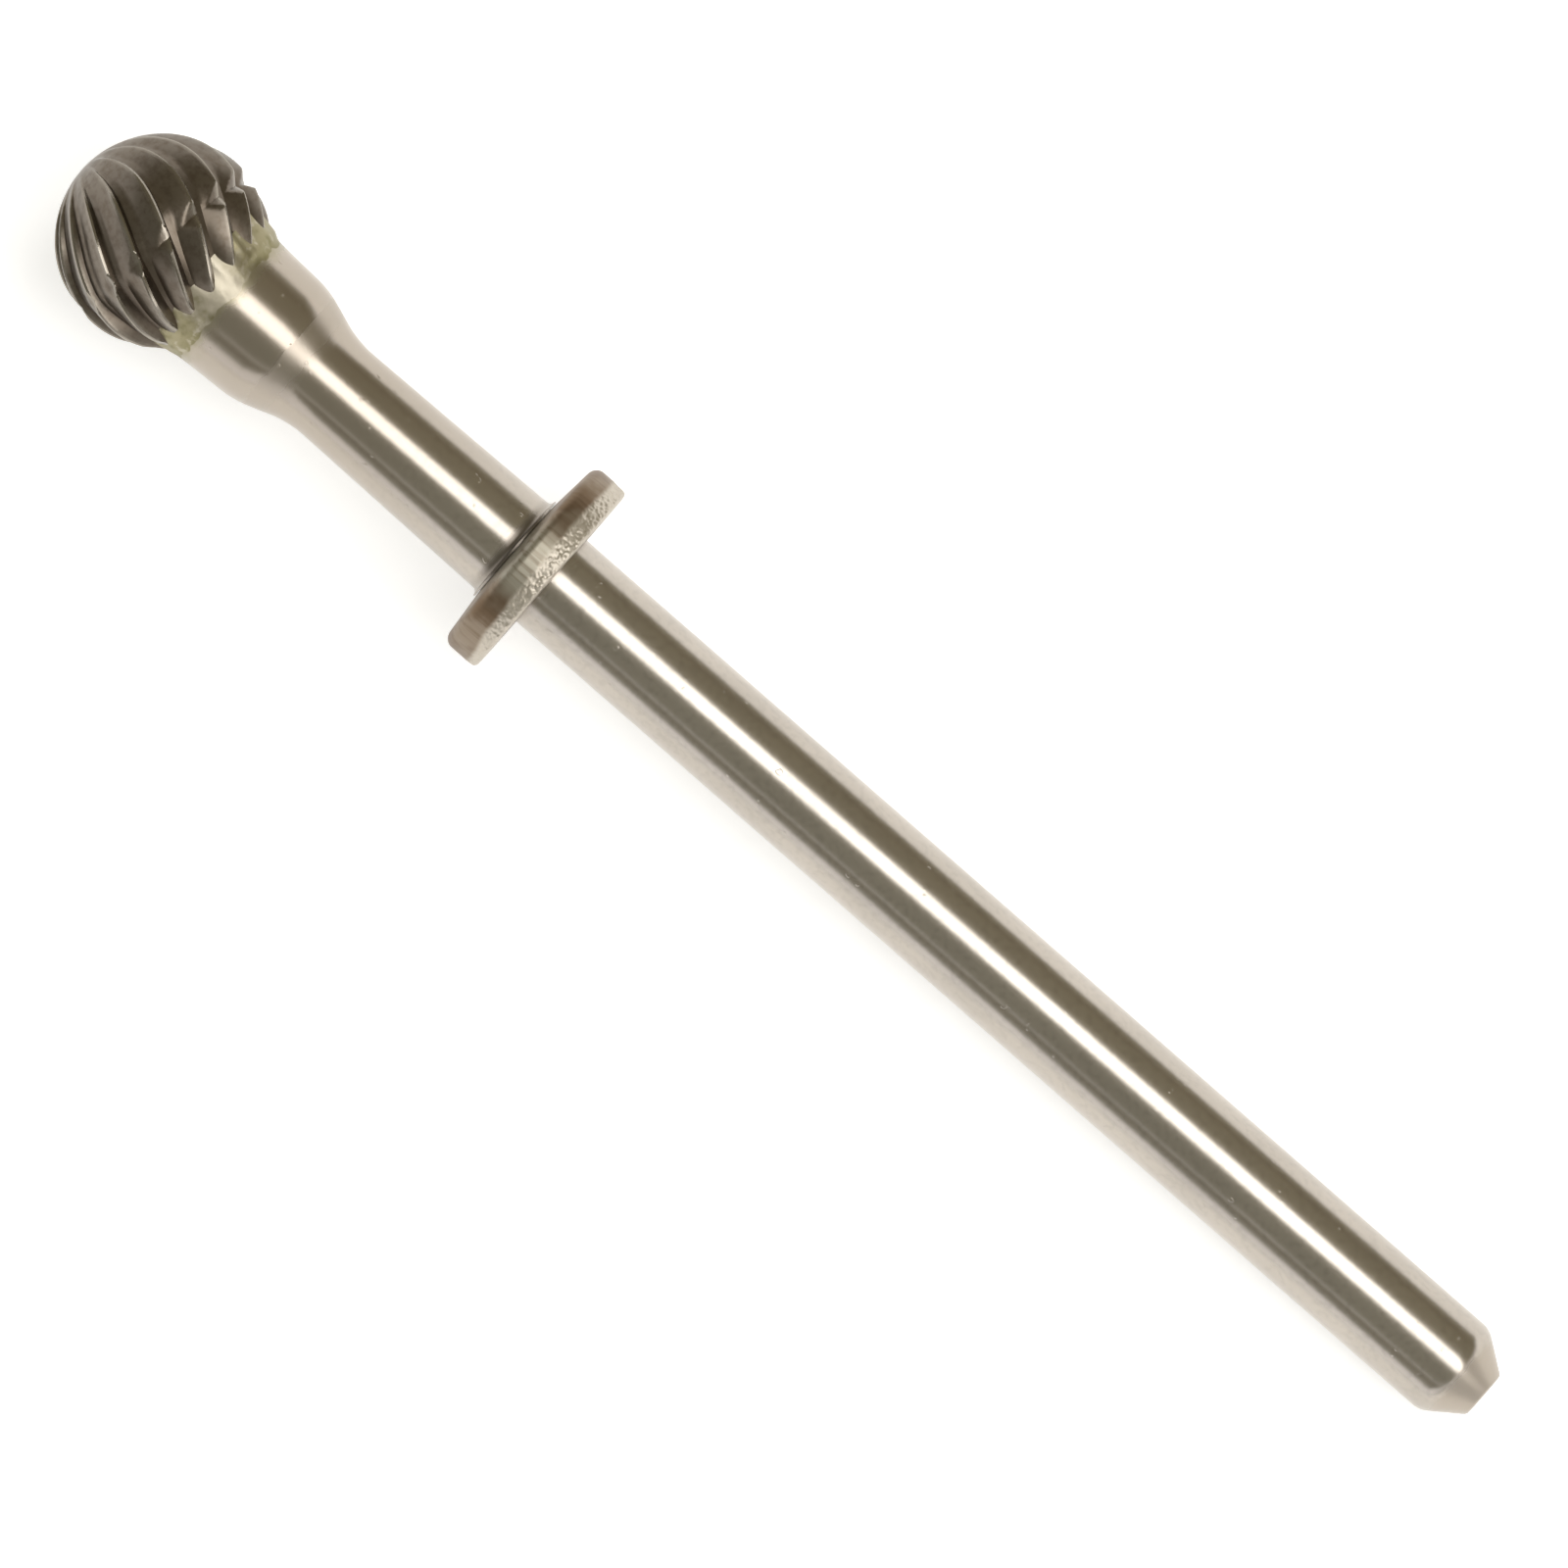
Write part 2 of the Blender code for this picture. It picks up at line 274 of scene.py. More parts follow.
class Value:
    """One output of a shader's nodes, which takes part in Python sums."""

    def __init__(self, nodes, socket):
        self.nodes = nodes
        self.socket = socket

    def math(self, operation, *values):
        return self.nodes.add("Math", {"operation": operation}, dict(enumerate(values)))

    def __add__(self, other):
        return self.math("ADD", self, other)

    def __radd__(self, other):
        return self.math("ADD", other, self)

    def __sub__(self, other):
        return self.math("SUBTRACT", self, other)

    def __rsub__(self, other):
        return self.math("SUBTRACT", other, self)

    def __mul__(self, other):
        return self.math("MULTIPLY", self, other)

    def __rmul__(self, other):
        return self.math("MULTIPLY", other, self)

    def __abs__(self):
        return self.math("ABSOLUTE", self)

    def rise(self, low, high):
        """0 below low and 1 above high, with a smooth rise between."""
        sockets = {"Value": self, "From Min": low, "From Max": high}
        return self.nodes.add("MapRange", {"interpolation_type": "SMOOTHSTEP"}, sockets)


class Nodes:
    """A node tree that starts empty, and the one way its nodes are made."""

    def __init__(self, owner):
        owner.use_nodes = True
        self.tree = owner.node_tree
        self.tree.nodes.clear()

    def add(self, kind, settings=None, sockets=None, output=0):
        """Adds a node with its settings, fills its sockets with values or links, and gives an output."""
        node = self.tree.nodes.new("ShaderNode" + kind)
        for name, value in (settings or {}).items():
            setattr(node, name, value)
        for name, value in (sockets or {}).items():
            if isinstance(value, Value):
                self.tree.links.new(value.socket, node.inputs[name])
            else:
                node.inputs[name].default_value = value
        return Value(self, node.outputs[output]) if node.outputs else None

    def place(self):
        return self.add("TexCoord", output="Object")

    def axes(self, vector):
        """The three parts of a vector."""
        parts = self.add("SeparateXYZ", sockets={"Vector": vector}).socket.node.outputs
        return [Value(self, part) for part in parts]

    def grain(self, per_metre, detail=2.0, roughness=0.5):
        """Noise of about 0 to 1 at a place, with so many grains per metre along X, Y and Z."""
        vector = self.add("Mapping", sockets={"Vector": self.place(), "Scale": per_metre})
        sockets = {"Vector": vector, "Scale": 1.0, "Detail": detail, "Roughness": roughness}
        return self.add("TexNoise", sockets=sockets)

    def mix(self, amount, first, second):
        """A colour between two, which are colours or outputs."""
        ends = [each if isinstance(each, Value) else (*each, 1.0) for each in (first, second)]
        return self.add("Mix", {"data_type": "RGBA"}, {0: amount, 6: ends[0], 7: ends[1]}, output=2)

    def bump(self, height, distance):
        return self.add("Bump", sockets={"Height": height, "Distance": distance, "Strength": 1.0})

    def surface(self, shader):
        self.add("OutputMaterial", sockets={"Surface": shader})


def metal(name, paint):
    """A metal whose paint function gives its base colour, roughness and normal from the nodes."""
    material = bpy.data.materials.new(name)
    nodes = Nodes(material)
    base, roughness, normal = paint(nodes)
    sockets = {"Base Color": base, "Roughness": roughness, "Metallic": 1.0, "Normal": normal}
    nodes.surface(nodes.add("BsdfPrincipled", sockets=sockets))
    return material


def ground_steel(sizes, shoulder, boss_back, boss_front):
    """Steel ground round and round, with a few pits.

    It is dull on the chamfer, has painted shade in the corner at the shoulder, and is browned on the
    boss and yellowed by the braze.
    """

    def paint(nodes):
        along, across, _ = nodes.axes(nodes.place())
        lines = nodes.grain((14000, 90, 90), detail=2.0)
        waves = nodes.grain((2400, 1500, 1500), detail=1.0)
        clouds = nodes.grain((160, 420, 420), detail=3.0)
        chatter = (nodes.grain((1500, 900, 900), detail=2.0) - 0.5) * (0.5 * MM)
        on_cone = along - boss_back + chatter
        turned_cone = on_cone.rise(-2.6 * MM, -1.4 * MM)
        turned_cone = turned_cone * (1.0 - on_cone.rise(-0.65 * MM, -0.5 * MM))
        pitted = nodes.grain((1500, 1500, 1500), detail=1.0).rise(0.735, 0.76)
        ragged = along + (nodes.grain((900, 900, 900), detail=3.0) - 0.5) * (1.6 * MM)
        heated = ragged.rise(boss_front - 1.6 * MM, boss_front - 0.5 * MM)
        dull = 1.0 - (along + chatter).rise(sizes.tail_chamfer - 0.8 * MM, sizes.tail_chamfer)
        browned = along.rise(shoulder - 4.0 * MM, boss_back)
        # Painted shade in the corner at the shoulder, strongest across the middle of the neck
        corner_shade_mask = 1.0 - abs(along - shoulder - 0.25 * MM).rise(0.1 * MM, 0.65 * MM)
        corner_shade_mask = corner_shade_mask * (1.0 - 0.7 * abs(across).rise(1.6 * MM, 3.0 * MM))
        speckle = nodes.grain((2600, 2600, 2600), detail=3.0)
        darker = [0.88 * part for part in sizes.steel]
        uneven = 0.6 * clouds.rise(0.35, 0.7) + 0.6 * speckle.rise(0.45, 0.7)
        base = nodes.mix(uneven, sizes.steel, darker)
        base = nodes.mix(0.85 * browned + 0.85 * dull, base, sizes.browned)
        base = nodes.mix(heated, base, sizes.heat_tint)
        base = nodes.mix(corner_shade_mask * 0.85, base, sizes.corner_shade)
        roughness = 0.19 + 0.05 * clouds + 0.14 * heated + 0.1 * turned_cone
        roughness = roughness + 0.08 * dull + 0.15 * corner_shade_mask
        relief = lines * (1.0 + 2.0 * turned_cone) + waves + 3.0 * pitted
        return base, roughness, nodes.bump(relief, 3e-6)

    return metal("ground_steel_finish", paint)


def ground_carbide(sizes):
    """Dark carbide with bright cutting edges and painted shade in the gullets, by the mesh's own marks
    of both.
    """

    def paint(nodes):
        edge = nodes.add("Attribute", {"attribute_name": "edge"}, output="Fac")
        gullet = nodes.add("Attribute", {"attribute_name": "gullet"}, output="Fac")
        clouds = nodes.grain((700, 700, 700), detail=3.0)
        grit = nodes.grain((5200, 5200, 5200), detail=2.0)
        mottle = nodes.grain((1900, 1900, 1900), detail=3.0, roughness=0.6)
        # Painted shade: the deeper a gullet, the darker
        base = nodes.mix(gullet * 0.8, sizes.carbide, sizes.gullet)
        base = nodes.mix(mottle.rise(0.4, 0.7) * 0.8, base, sizes.gullet)
        base = nodes.mix(edge * (0.4 + clouds), base, sizes.edge)
        roughness = 0.26 + 0.12 * clouds - 0.16 * edge
        return base, roughness, nodes.bump(grit, 4e-6)

    return metal("ground_carbide_finish", paint)


def run_braze(sizes, joint):
    """Yellow braze as it set, lumpy: a painted highlight along its middle, with olive scale where it
    thins out.
    """

    def paint(nodes):
        along, across, _ = nodes.axes(nodes.place())
        lumps = nodes.grain((1300, 1300, 1300), detail=3.0)
        clouds = nodes.grain((500, 500, 500), detail=2.0)
        ragged = along + (clouds - 0.5) * (1.6 * MM)
        thin = 1.0 - ragged.rise(joint - 0.9 * MM, joint + 0.1 * MM)
        base = nodes.mix(thin * 0.5, sizes.metal, sizes.scale)
        base = nodes.mix(lumps.rise(0.5, 0.75) * 0.7, base, sizes.scale)
        # Painted highlight: lighter along the braze's middle, where the lamp's reflection falls
        clean = 1.0 - abs(across + (lumps - 0.5) * (4.0 * MM)).rise(0.7 * MM, 2.8 * MM)
        base = nodes.mix((1.0 - lumps.rise(0.3, 0.45)) * 0.6, base, sizes.cream_and_highlight)
        base = nodes.mix(clean * 0.85, base, sizes.cream_and_highlight)
        return base, 0.33 + 0.2 * clouds, nodes.bump(lumps, 3e-5)

    return metal("braze_finish", paint)


def stamped_steel(sizes):
    """Steel with a smooth sheared band and a bright torn band, with a painted highlight along its
    middle.

    Elsewhere it is stained brown in places.
    """

    def paint(nodes):
        torn = nodes.add("Attribute", {"attribute_name": "torn"}, output="Fac")
        across = nodes.axes(nodes.place())[1]
        streaks = nodes.grain((120, 2600, 2600), detail=2.0)
        grains = nodes.grain((3300, 3300, 3300), detail=3.0)
        clouds = nodes.grain((330, 330, 330), detail=3.0)
        # Painted highlight: lighter along the rim's middle, where the lamp's reflection falls
        worn = 1.0 - abs(across + (clouds - 0.5) * (3.0 * MM)).rise(0.9 * MM, 3.2 * MM)
        base = nodes.mix(clouds.rise(0.42, 0.64), sizes.steel, sizes.stain)
        base = nodes.mix(worn, base, sizes.worn)
        base = nodes.mix(streaks.rise(0.5, 0.7) * 0.5, base, sizes.stain)
        base = nodes.mix(torn, base, sizes.torn)
        roughness = 0.38 + 0.12 * streaks
        relief = streaks * (1.0 - torn) + 2.0 * grains * torn
        return base, roughness, nodes.bump(relief, 1e-5)

    return metal("stamped_steel_finish", paint)


def turned(corners, steps, closed=False):
    """A bmesh of an outline of (x, radius, rounding) corners, spun once round the tool axis."""
    builder = bmesh.new()
    verts = [builder.verts.new((x, radius, 0)) for x, radius, _ in corners]
    ends = verts[1:] + verts[:1] if closed else verts[1:]
    for pair in zip(verts, ends):
        builder.edges.new(pair)
    for vert, (_, _, rounding) in zip(verts, corners):
        if rounding:
            bmesh.ops.bevel(
                builder,
                geom=[vert],
                offset=rounding,
                offset_type="OFFSET",
                affect="VERTICES",
                segments=ROUNDING_STEPS,
                profile=0.5,
                material=-1,
            )
    bmesh.ops.spin(
        builder,
        geom=builder.verts[:] + builder.edges[:],
        cent=(0, 0, 0),
        axis=TOOL_AXIS,
        angle=math.tau,
        steps=steps,
        use_merge=True,
    )
    bmesh.ops.remove_doubles(builder, verts=builder.verts, dist=MERGE_DISTANCE)
    return builder


def polar(place):
    """(radius, turn) of a place round the tool axis."""
    return math.hypot(place.y, place.z), math.atan2(place.z, place.y)


def at(x, radius, turn):
    """The place at a radius and a turn round the tool axis."""
    return Vector((x, radius * math.cos(turn), radius * math.sin(turn)))


def smooth(part):
    """Eases a part of 0 to 1 in and out."""
    part = min(max(part, 0.0), 1.0)
    return part * part * (3 - 2 * part)


def unevenness(place, per_metre, seed):
    """Smooth noise of about -1 to 1 at a place."""
    return noise.noise(place * per_metre + Vector((seed, 0, 0)))


def layers(place, noises):
    """Sum of layers of noise at a place, each with its weight, grains per metre and seed."""
    return sum(weight * unevenness(place, per_metre, seed) for weight, per_metre, seed in noises)


def add_piece(name, builder, finish, body, node, crease):
    """Makes the piece that stands for a node of the frame, riding on a body."""
    bmesh.ops.recalc_face_normals(builder, faces=builder.faces)
    mesh = bpy.data.meshes.new(name)
    builder.to_mesh(mesh)
    builder.free()
    mesh.shade_smooth()
    mesh.set_sharp_from_angle(angle=math.radians(crease))
    mesh.materials.append(finish)
    piece = bpy.data.objects.new(name, mesh)
    bpy.context.scene.collection.objects.link(piece)
    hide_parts(node)
    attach(piece, body)


def boss_back(sizes):
    """Place along the tool where the boss begins."""
    return COLLAR_HIGH.x + sizes.shoulder_gap + sizes.neck + sizes.cone


def boss_radius(sizes, x):
    """Radius of the boss, which widens to its front."""
    from_front = (SHANK_HIGH.x - x) / (SHANK_HIGH.x - boss_back(sizes))
    return SHANK_HIGH.y - sizes.boss_taper / 2 * from_front


class BURR_OT_shank(Operator):
    """Turns the shank, from the chamfered tail to the boss"""

    bl_idname = "burr.shank"
    bl_label = "Shank"

    def execute(self, context):
        sizes = context.scene.burr_shank
        grip = sizes.grip / 2
        shoulder = COLLAR_HIGH.x + sizes.shoulder_gap
        neck_front = shoulder + sizes.neck
        back = boss_back(sizes)
        corners = (
            (SHANK_LOW.x, 0, 0),
            (SHANK_LOW.x, sizes.tail_face / 2, sizes.tail_face_rounding),
            (SHANK_LOW.x + sizes.tail_chamfer, grip, sizes.tail_rounding),
            (shoulder, grip, 0),
            (shoulder, grip + sizes.shoulder_step, 0),
            (shoulder + sizes.shoulder_rim, grip + sizes.shoulder_step, 0),
            (shoulder + sizes.shoulder_rim, sizes.neck_back / 2, sizes.shoulder_fillet),
            (neck_front, sizes.neck_front / 2, sizes.cone_foot_rounding),
            (back, boss_radius(sizes, back), sizes.cone_top_rounding),
            (SHANK_HIGH.x, SHANK_HIGH.y, 0),
            (SHANK_HIGH.x, 0, 0),
        )
        builder = turned(corners, TURN_STEPS)
        finish = ground_steel(sizes, shoulder, back, SHANK_HIGH.x)
        add_piece("shank_ground", builder, finish, "burr", "shank", SHANK_CREASE)
        return {"FINISHED"}


def flute_turn(sizes, from_pole):
    """How far a flute has turned at an angle from the front pole, measured from the equator."""
    behind = from_pole - math.pi / 2
    return -behind * (math.tan(sizes.spiral) + sizes.spiral_growth * behind / 2)


def tooth_corners(sizes, from_pole, pitch):
    """(distance past a cutting edge, depth) of a tooth's corners, at an angle from the front pole.

    The flutes grow out of a smooth tip, then deepen towards the back.
    """
    grown = smooth((from_pole - sizes.fade_start) / (sizes.fade_end - sizes.fade_start))
    deepened = smooth((from_pole - sizes.deepen_start) / (sizes.deepen_end - sizes.deepen_start))
    depth = grown * (sizes.front_depth + deepened * (sizes.depth - sizes.front_depth))
    floor_share = sizes.front_floor_share + deepened * (sizes.floor_share - sizes.front_floor_share)
    bevel = min(sizes.edge_bevel, depth / 3)
    bevel_depth = bevel * math.tan(sizes.bevel_angle)
    rake = bevel + (depth - bevel_depth) / math.tan(sizes.rake_angle)
    floor = rake + pitch * floor_share
    land = pitch * (1 - sizes.land_share)
    return (0, 0), (bevel, bevel_depth), (rake, depth), (floor, depth), (land, 0), (pitch, 0)


def tooth_column(sizes, corners, column):
    """(share of the pitch past a cutting edge, depth) of one column of a tooth with such corners."""
    pitch, full_depth = corners[-1][0], corners[2][1]
    spread = column / sum(TOOTH_COLUMNS)
    stretch = 0
    while column >= TOOTH_COLUMNS[stretch]:
        column -= TOOTH_COLUMNS[stretch]
        stretch += 1
    part = column / TOOTH_COLUMNS[stretch]
    (start, from_depth), (end, to_depth) = corners[stretch : stretch + 2]
    across = (start + part * (end - start)) / pitch
    cut = min(full_depth / sizes.shallow, 1.0)
    return spread + cut * (across - spread), from_depth + part * (to_depth - from_depth)


def notch_depth(sizes, from_pole, turn):
    """Depth of the chip-breaker groove, a left-hand spiral, at a place on the ball."""
    along = sizes.ball / 2 * (math.pi / 2 - from_pole)
    centre = -sizes.notch_start + (math.pi - turn) / math.tau * sizes.notch_lead
    aside = (along - centre + sizes.notch_lead / 2) % sizes.notch_lead - sizes.notch_lead / 2
    worn = 0.6 - 0.4 * math.cos(turn)
    runs_out = 1 - smooth((along - sizes.notch_front) / sizes.notch_run_out)
    return max(0.0, sizes.notch_depth * worn * runs_out * (1 - abs(aside) / sizes.notch_reach))


class BURR_OT_head(Operator):
    """Cuts the flutes and the chip-breaker groove of the carbide ball"""

    bl_idname = "burr.head"
    bl_label = "Head"

    def execute(self, context):
        sizes = context.scene.burr_head
        ball = sizes.ball / 2
        centre = HEAD_HIGH.x - ball
        columns = sum(TOOTH_COLUMNS)
        builder = bmesh.new()
        bmesh.ops.create_uvsphere(
            builder, u_segments=sizes.flutes * columns, v_segments=HEAD_RINGS, radius=1.0
        )
        edge_mark = builder.verts.layers.float.new("edge")
        gullet_shade_mark = builder.verts.layers.float.new("gullet")
        back_angle = math.acos((HEAD_LOW.x - centre) / ball)
        for vert in builder.verts:
            ring = round(vert.co.angle(Vector((0, 0, 1))) / math.pi * HEAD_RINGS)
            tooth, column = divmod(
                round(math.atan2(vert.co.y, vert.co.x) / math.tau * sizes.flutes * columns), columns
            )
            if ring == HEAD_RINGS:
                vert.co = (HEAD_LOW.x, 0, 0)
                continue
            from_pole = ring * back_angle / (HEAD_RINGS - 1)
            along = ball * math.cos(from_pole)
            if ring == 0:
                vert.co = (centre + along, 0, 0)
                continue
            pitch = math.tau / sizes.flutes * ball * math.sin(from_pole)
            corners = tooth_corners(sizes, from_pole, pitch)
            past, depth = tooth_column(sizes, corners, column)
            turn = sizes.phase + math.tau * (tooth + past) / sizes.flutes
            turn += flute_turn(sizes, from_pole)
            fade = min(corners[2][1] / sizes.front_depth, 1.0)
            depth = max(depth, fade * notch_depth(sizes, from_pole, turn))
            x = centre + along * (1 - depth / ball if along > 0 else 1)
            vert.co = at(x, (ball - depth) * math.sin(from_pole), turn)
            past_edge = min(past, 1 - past) * pitch
            vert[edge_mark] = fade * max(0.0, 1 - past_edge / sizes.edge_glint)
            # Depth of the gullet, which the finish turns into painted shade
            vert[gullet_shade_mark] = depth / sizes.depth
        finish = ground_carbide(sizes)
        add_piece("head_fluted", builder, finish, "burr", "burr_head", HEAD_CREASE)
        return {"FINISHED"}


class BURR_OT_braze(Operator):
    """Runs the braze round the joint, on to the boss and into the flutes"""

    bl_idname = "burr.braze"
    bl_label = "Braze"

    def execute(self, context):
        sizes = context.scene.burr_braze
        shank = context.scene.burr_shank
        joint = HEAD_LOW.x
        front = joint + sizes.creep_in_flutes
        # Radii of the ring before it is shaped, which only tell its core from its surface
        inner, outer = 0.5, 1.0
        surface_rows = [(row / BRAZE_ROWS, outer, 0) for row in range(BRAZE_ROWS + 1)]
        builder = turned(surface_rows + [(1, inner, 0), (0, inner, 0)], BRAZE_STEPS, closed=True)
        for vert in builder.verts:
            radius, turn = polar(vert.co)
            round_about = at(0, 1, turn)
            fed = smooth(0.5 - 0.5 * math.cos(turn))
            wander = unevenness(round_about, 3.0, 0.0) + 0.5 * unevenness(round_about, 9.0, 5.0)
            rear = SHANK_HIGH.x - sizes.creep_on_boss + sizes.wander * wander
            x = rear + vert.co.x * (front - rear)
            fillet = smooth((x - rear) / (joint - rear)) ** 1.5
            lump = unevenness(round_about, 6.0, 9.0)
            lift = sizes.lift * (1 + 0.5 * lump) + sizes.build_up * fed**2
            rise = max(0.0, x - joint) * (sizes.climb + 0.1 * lump)
            surface = boss_radius(shank, min(x, SHANK_HIGH.x)) + sizes.film + lift * fillet + rise
            below = 0 if radius > (inner + outer) / 2 else sizes.core
            vert.co = at(x, surface - below, turn)
        finish = run_braze(sizes, joint)
        add_piece("braze_fillet", builder, finish, "burr", "braze_joint", BRAZE_CREASE)
        return {"FINISHED"}


class BURR_OT_collar(Operator):
    """Stamps the stop collar, with its die roll, sheared band and torn band"""

    bl_idname = "burr.collar"
    bl_label = "Stop collar"

    def execute(self, context):
        sizes = context.scene.burr_collar
        bore = context.scene.burr_shank.grip / 2 + sizes.bore_clearance
        rim = COLLAR_HIGH.y
        rim_start = COLLAR_LOW.x + sizes.tail_rounding
        rim_end = COLLAR_HIGH.x - sizes.dome
        row_step = (rim_end - sizes.head_rounding - rim_start) / RIM_ROWS
        corners = [
            (COLLAR_LOW.x, bore, sizes.bore_rounding),
            (COLLAR_LOW.x, rim, sizes.tail_rounding),
            *((rim_start + row * row_step, rim, 0) for row in range(RIM_ROWS + 1)),
            (rim_end, rim, sizes.head_rounding),
            (COLLAR_HIGH.x, bore, sizes.bore_rounding),
        ]
        builder = turned(corners, RIM_STEPS, closed=True)
        torn_mark = builder.verts.layers.float.new("torn")
        for vert in builder.verts:
            x = vert.co.x
            radius, turn = polar(vert.co)
            if radius < rim - sizes.head_rounding:
                continue
            round_about = at(0, rim, turn)
            wander = sizes.slant * math.cos(turn - sizes.slant_turn) + layers(round_about, TEAR_WANDER)
            into_torn = rim_end - sizes.sheared_band + wander - x
            torn = smooth(into_torn / sizes.tear)
            fall = sizes.torn_taper * max(0.0, into_torn) / (COLLAR_HIGH.x - COLLAR_LOW.x)
            pits = min(max(TORN_MIDDLE + layers(vert.co, TORN_GRAIN), 0.0), 1.0)
            scored = sizes.scores * (1 + unevenness(round_about, *SCORE_GRAIN))
            drop = torn * (fall + sizes.torn_relief * pits) + (1 - torn) * scored
            vert.co = at(x, radius - drop, turn)
            vert[torn_mark] = torn
        finish = stamped_steel(sizes)
        add_piece(
            "collar_stamped", builder, finish, "collar", "stop_collar", COLLAR_CREASE
        )
        return {"FINISHED"}


def table_frame(context):
    """Axes of the table that the tail and the collar rest on: along the tool, across it and up."""
    shank = context.scene.burr_shank
    run = COLLAR_LOW.x - shank.tail_chamfer
    tilt = math.atan2(COLLAR_HIGH.y - shank.grip / 2, run)
    along = Vector((math.cos(tilt), 0, -math.sin(tilt)))
    up = Vector((math.sin(tilt), 0, math.cos(tilt)))
    return along, Vector((0, 1, 0)), up


def axes_matrix(place, x_axis, y_axis, z_axis):
    """The matrix of an object at a place, with its three axes."""
    return Matrix.LocRotScale(place, Matrix((x_axis, y_axis, z_axis)).transposed(), None)


def pale_paint(stage):
    """Pale paint with a glow of its own, seen from above only."""
    material = bpy.data.materials.new("pale_table")
    nodes = Nodes(material)
    sockets = {
        "Base Color": (*stage.table_colour, 1.0),
        "Roughness": 0.9,
        "Emission Color": (1.0, 1.0, 1.0, 1.0),
        "Emission Strength": stage.table_glow,
    }
    paint = nodes.add("BsdfPrincipled", sockets=sockets)
    below = nodes.add("NewGeometry", output="Backfacing")
    clear = nodes.add("BsdfTransparent")
    nodes.surface(nodes.add("MixShader", sockets={0: below, 1: paint, 2: clear}))
    return material


def room_light(stage):
    """A dim room with bands and a pale sweep low down, and a plain pale backdrop for the camera."""
    world = bpy.data.worlds.new("room")
    nodes = Nodes(world)
    along, across, up = nodes.axes(nodes.add("TexCoord", output="Generated"))
    behind = 0.5 * (abs(along) - along)
    brim = BRIM_HEIGHT + BRIM_NEAR_RISE * across + BRIM_BEHIND_RISE * behind
    dimmed_behind = 1.0 - 0.5 * behind.rise(0.3, 0.85)
    low = (1.0 - (up - brim).rise(-BRIM_BLUR, BRIM_BLUR)) * dimmed_behind
    side = across.math("ARCTAN2", across, up)
    seen = nodes.mix(across.rise(-0.4, 0.4), stage.far_room, stage.near_room)
    for middle, fades, ends, strength, paint in ROOM_BANDS:
        aside = abs(side - math.radians(middle))
        band = 1.0 - aside.rise(math.radians(fades), math.radians(ends))
        seen = nodes.mix(band * strength, seen, getattr(stage, paint))
    seen = nodes.mix(low, seen, stage.sweep)
    reflected = nodes.add("Background", sockets={"Color": seen})
    backdrop = nodes.add("Background", sockets={"Color": (*stage.sweep, 1.0)})
    direct = nodes.add("LightPath", output="Is Camera Ray")
    both = nodes.add("MixShader", sockets={0: direct, 1: reflected, 2: backdrop})
    nodes.add("OutputWorld", sockets={"Surface": both})
    return world


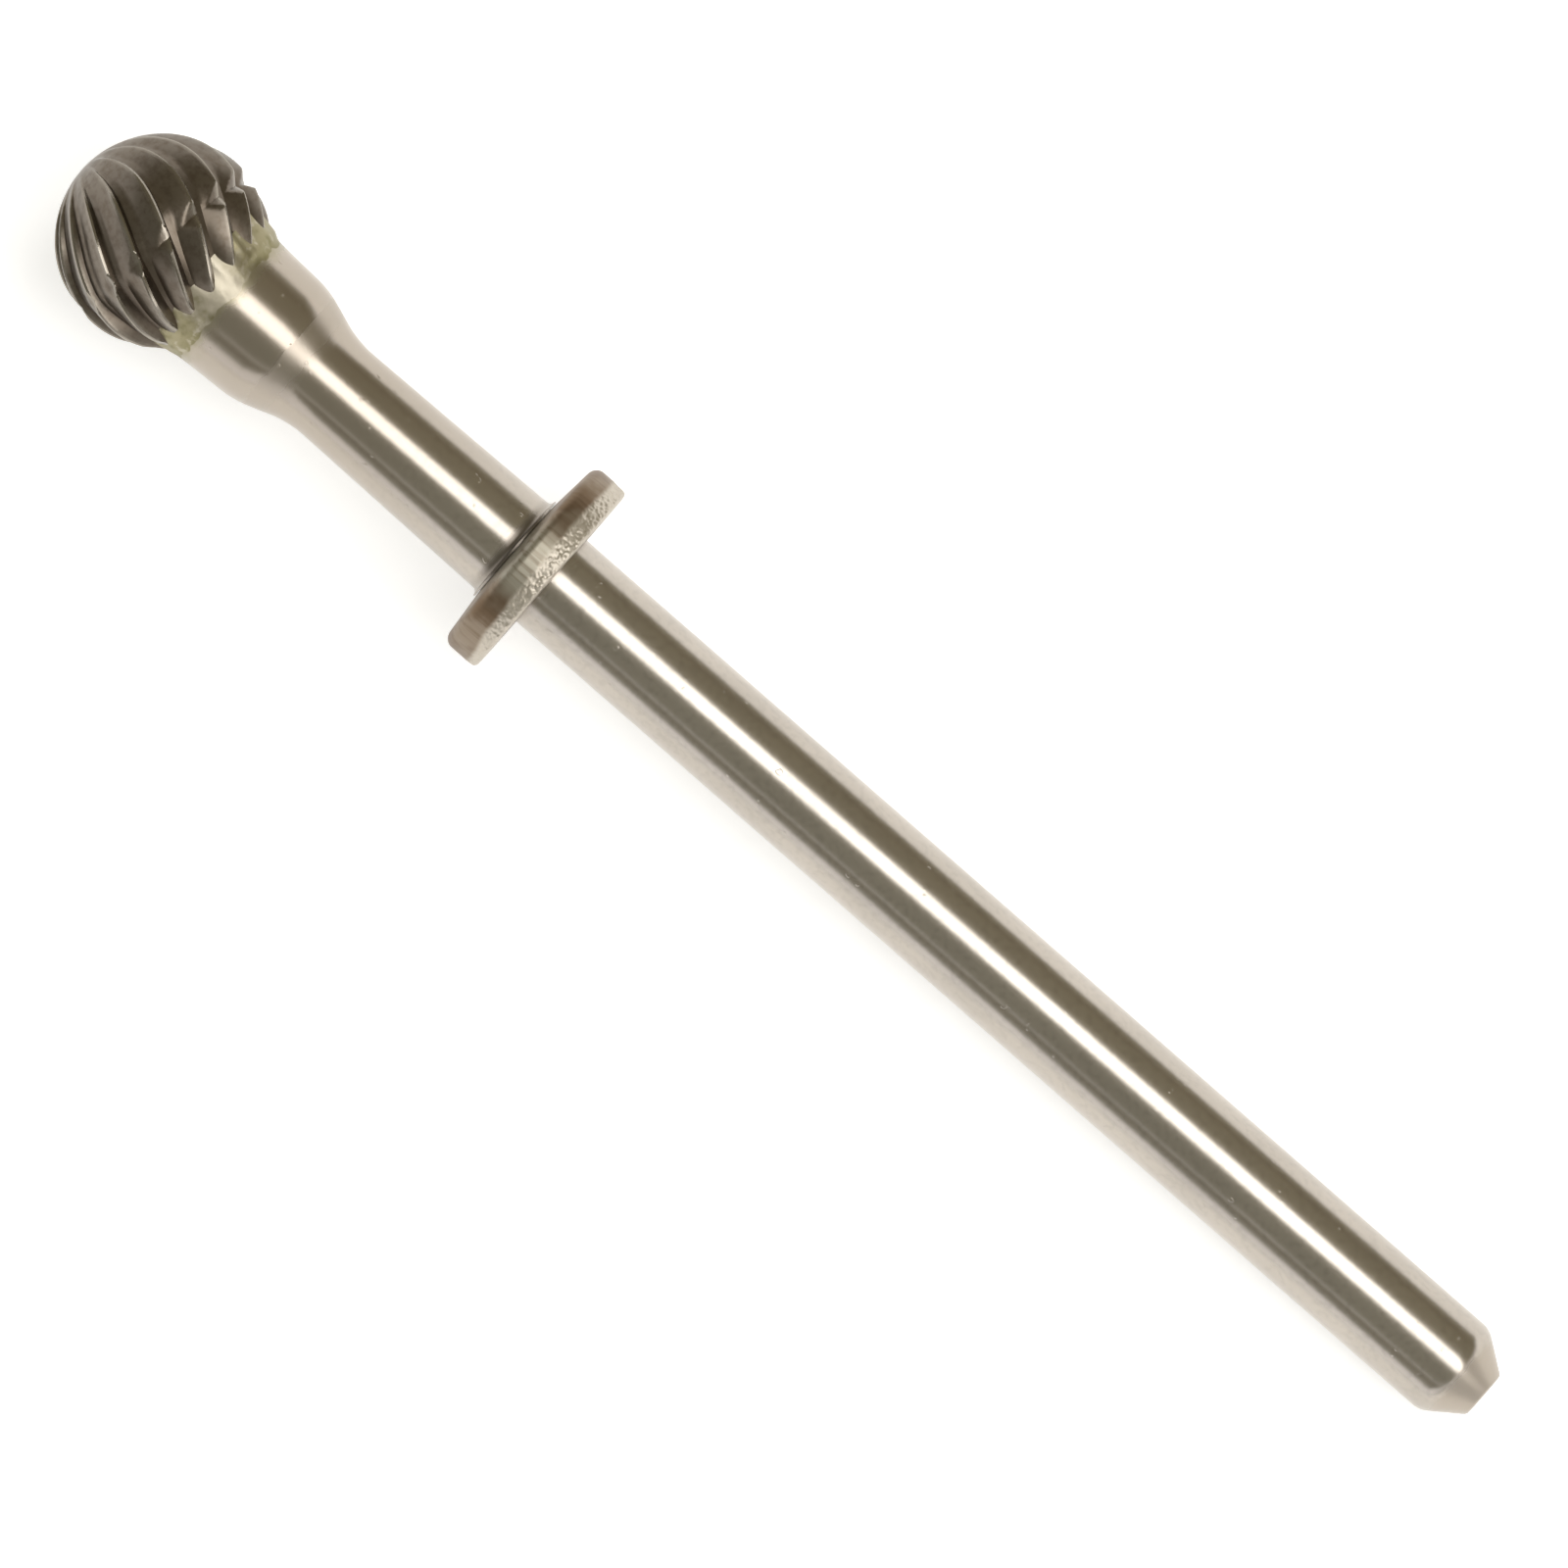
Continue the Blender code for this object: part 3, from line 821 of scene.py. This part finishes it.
class BURR_OT_stage(Operator):
    """Lays the table under the tool, and sets the lamps, the room and the camera"""

    bl_idname = "burr.stage"
    bl_label = "Stage"

    def execute(self, context):
        stage = context.scene.burr_stage
        aim = Vector((stage.view_centre, 0, 0))
        tool_axes = Matrix.Identity(3)
        self.lay_table(context, stage, *table_frame(context))
        self.hang_lamp(context, stage, aim, *tool_axes)
        self.hang_key(context, stage, aim)
        self.aim_camera(context, stage, aim, *tool_axes)
        context.scene.world = room_light(stage)
        context.scene.view_settings.view_transform = "Standard"
        return {"FINISHED"}

    def lay_table(self, context, stage, along, across, up):
        contact = Vector((COLLAR_LOW.x, 0, -COLLAR_HIGH.y))
        builder = bmesh.new()
        bmesh.ops.create_grid(builder, x_segments=1, y_segments=1, size=stage.table)
        place = axes_matrix(up * contact.dot(up), along, across, up)
        bmesh.ops.transform(builder, matrix=place, verts=builder.verts)
        mesh = bpy.data.meshes.new("table")
        builder.to_mesh(mesh)
        builder.free()
        mesh.materials.append(pale_paint(stage))
        table = bpy.data.objects.new("table", mesh)
        context.scene.collection.objects.link(table)

    def hang_lamp(self, context, stage, aim, along, across, up):
        """A long panel over the far side of the tool, which runs far past the tail."""
        behind, ahead = stage.lamp_behind, stage.lamp_ahead
        far_edge, near_edge = (
            stage.lamp_height * math.tan(slant) for slant in (stage.lamp_far, stage.lamp_near)
        )
        data = bpy.data.lights.new("lamp_panel", "AREA")
        data.shape = "RECTANGLE"
        data.size = behind + ahead
        data.size_y = near_edge - far_edge
        data.energy = stage.lamp_radiance * math.pi * data.size * data.size_y
        lamp = bpy.data.objects.new("lamp_panel", data)
        middle = aim + along * (ahead - behind) / 2 + across * (far_edge + near_edge) / 2
        lamp.matrix_world = axes_matrix(middle + up * stage.lamp_height, along, across, up)
        lamp.visible_camera = False
        context.scene.collection.objects.link(lamp)

    def hang_key(self, context, stage, aim):
        """A soft square lamp over the far side, which casts the shadow but shows in no reflection."""
        data = bpy.data.lights.new("key_lamp", "AREA")
        data.size = stage.key_size
        data.energy = stage.key_power
        key = bpy.data.objects.new("key_lamp", data)
        tilt = Matrix.Rotation(-stage.key_side, 4, "X")
        away = Matrix.Translation((0, 0, stage.key_distance))
        key.matrix_world = Matrix.Translation(aim) @ tilt @ away
        key.visible_camera = False
        key.visible_glossy = False
        context.scene.collection.objects.link(key)

    def aim_camera(self, context, stage, aim, along, across, up):
        turn = stage.tool_turn
        right = math.cos(turn) * along - math.sin(turn) * across
        upright = math.sin(turn) * along + math.cos(turn) * across
        data = bpy.data.cameras.new("camera")
        data.lens = data.sensor_width * stage.camera_distance / stage.view_width
        camera = bpy.data.objects.new("camera", data)
        camera.matrix_world = axes_matrix(aim + up * stage.camera_distance, right, upright, up)
        context.scene.collection.objects.link(camera)
        context.scene.camera = camera


GROUPS = {
    "burr_shank": ShankSizes,
    "burr_head": HeadSizes,
    "burr_braze": BrazeSizes,
    "burr_collar": CollarSizes,
    "burr_stage": StageSizes,
}
OPERATORS = (BURR_OT_shank, BURR_OT_head, BURR_OT_braze, BURR_OT_collar, BURR_OT_stage)


class BURR_PT_pieces(Panel):
    """Lists the burr's pieces and their sizes"""

    bl_idname = "BURR_PT_pieces"
    bl_label = "Ball burr"
    bl_space_type = "VIEW_3D"
    bl_region_type = "UI"
    bl_category = "Burr"

    def draw(self, context):
        for operator, (group, sizes) in zip(OPERATORS, GROUPS.items()):
            box = self.layout.box()
            box.operator(operator.bl_idname)
            for name in sizes.__annotations__:
                box.prop(getattr(context.scene, group), name)


CLASSES = (*GROUPS.values(), *OPERATORS, BURR_PT_pieces)


def register():
    for each in CLASSES:
        bpy.utils.register_class(each)
    for name, group in GROUPS.items():
        setattr(bpy.types.Scene, name, PointerProperty(type=group))


def unregister():
    for name in GROUPS:
        delattr(bpy.types.Scene, name)
    for each in reversed(CLASSES):
        bpy.utils.unregister_class(each)


def main():
    register()
    bpy.ops.burr.shank()
    bpy.ops.burr.head()
    bpy.ops.burr.braze()
    bpy.ops.burr.collar()
    bpy.ops.burr.stage()


if __name__ == "__main__":
    main()
